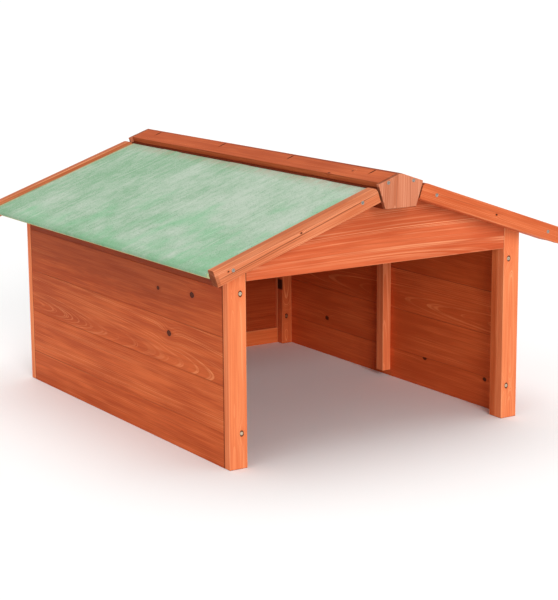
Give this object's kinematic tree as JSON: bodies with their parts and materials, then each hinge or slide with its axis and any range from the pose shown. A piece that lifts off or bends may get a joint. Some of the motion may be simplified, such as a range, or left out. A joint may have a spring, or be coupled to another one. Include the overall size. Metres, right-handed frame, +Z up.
{
  "type": "small animal shelter",
  "caption": "Open-fronted, floorless timber shelter with a gabled roof: two felted flaps hinged at a fixed ridge, board walls, corner posts and barge boards.",
  "frame": {"origin": "centre of the footprint, on the ground under the posts", "axes": "+X right, +Y towards the closed rear wall, +Z up; the open front faces -Y"},
  "size_m": [0.7334, 0.886, 0.4798],
  "materials": {
    "stained_fir": "satin orange-brown stain",
    "hidden_fir": "satin orange-brown stain",
    "roof_felt": "mineral grain on bitumen felt",
    "zinc_steel": "zinc plated",
    "hinge_steel": "dull zinc plated"
  },
  "bodies": {
    "shelter": {"frame_screws": "zinc_steel", "front_gable_board": "stained_fir", "front_post_left": "stained_fir", "front_post_right": "stained_fir", "front_stile_left": "stained_fir", "front_stile_right": "stained_fir", "hinge_fixed_leaves": "hinge_steel", "hinge_fixed_screws": "zinc_steel", "hinge_pins": "hinge_steel", "mid_batten_left": "stained_fir", "mid_batten_right": "stained_fir", "rear_board_1": "stained_fir", "rear_board_2": "stained_fir", "rear_board_3": "stained_fir", "rear_board_4": "stained_fir", "rear_gable_board": "stained_fir", "rear_post_left": "stained_fir", "rear_post_right": "stained_fir", "rear_rail": "stained_fir", "rear_stile_left": "stained_fir", "rear_stile_right": "stained_fir", "ridge_beam": "hidden_fir", "ridge_cap_left": "stained_fir", "ridge_cap_right": "stained_fir", "ridge_cap_staples": "zinc_steel", "ridge_end_plate_front": "stained_fir", "ridge_end_plate_rear": "stained_fir", "ridge_end_plate_screws": "zinc_steel", "side_board_1_left": "stained_fir", "side_board_1_right": "stained_fir", "side_board_2_left": "stained_fir", "side_board_2_right": "stained_fir", "side_board_3_left": "stained_fir", "side_board_3_right": "stained_fir", "side_board_4_left": "stained_fir", "side_board_4_right": "stained_fir", "side_board_5_left": "stained_fir", "side_board_5_right": "stained_fir"},
    "flap_left": {"roof_board_left": "hidden_fir", "roof_felt_left": "roof_felt", "barge_board_front_left": "stained_fir", "barge_board_rear_left": "stained_fir", "rafter_front_left": "hidden_fir", "rafter_rear_left": "hidden_fir", "head_batten_left": "hidden_fir", "hinge_moving_leaves_left": "hinge_steel", "barge_screws_left": "zinc_steel", "hinge_moving_screws_left": "zinc_steel"},
    "flap_right": {"roof_board_right": "hidden_fir", "roof_felt_right": "roof_felt", "barge_board_front_right": "stained_fir", "barge_board_rear_right": "stained_fir", "rafter_front_right": "hidden_fir", "rafter_rear_right": "hidden_fir", "head_batten_right": "hidden_fir", "hinge_moving_leaves_right": "hinge_steel", "barge_screws_right": "zinc_steel", "hinge_moving_screws_right": "zinc_steel"}
  },
  "joints": [
    {"name": "flap_right_hinge", "type": "hinge", "parent": "shelter", "child": "flap_right", "pos_m": [0.04516, 0, 0.45091], "axis": [0, -1, 0], "range_deg": [0, 40]},
    {"name": "flap_left_hinge", "type": "hinge", "parent": "shelter", "child": "flap_left", "pos_m": [-0.04516, 0, 0.45091], "axis": [0, 1, 0], "range_deg": [0, 40]}
  ]
}
